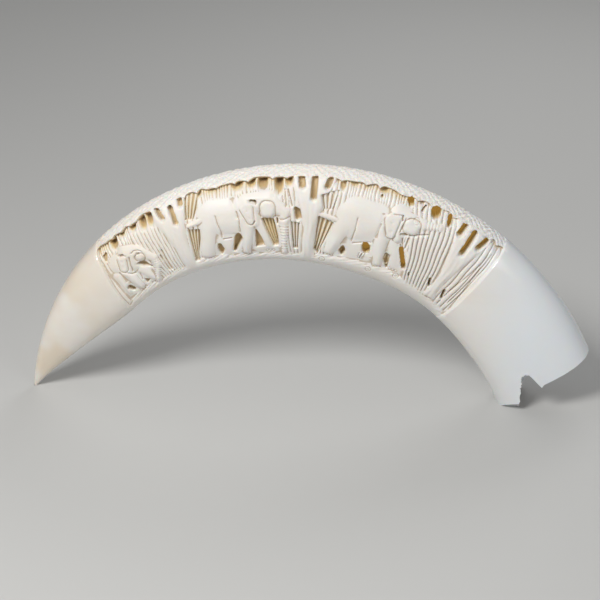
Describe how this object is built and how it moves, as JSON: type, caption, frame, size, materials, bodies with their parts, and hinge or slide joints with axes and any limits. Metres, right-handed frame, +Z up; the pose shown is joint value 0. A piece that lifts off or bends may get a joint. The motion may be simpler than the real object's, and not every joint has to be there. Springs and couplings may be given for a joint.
{
  "type": "carved hippo tusk",
  "caption": "Curved tusk carved in deep relief with walking elephants, trees and reeds under a leaf canopy; polished tip and hollow root, standing as an arch.",
  "frame": {"origin": "middle of the bounding box, on the surface that the tip and the root's lip stand on", "axes": "+X from the tip towards the root, +Z up, and the elephants are on the -Y side"},
  "size_m": [0.3135, 0.0341, 0.1406],
  "materials": {
    "ivory": "polished cream ivory, warmer at the tip, with satin carving and tan to brown recesses"
  },
  "bodies": {
    "root": {"carved_tusk": "ivory"}
  },
  "joints": []
}
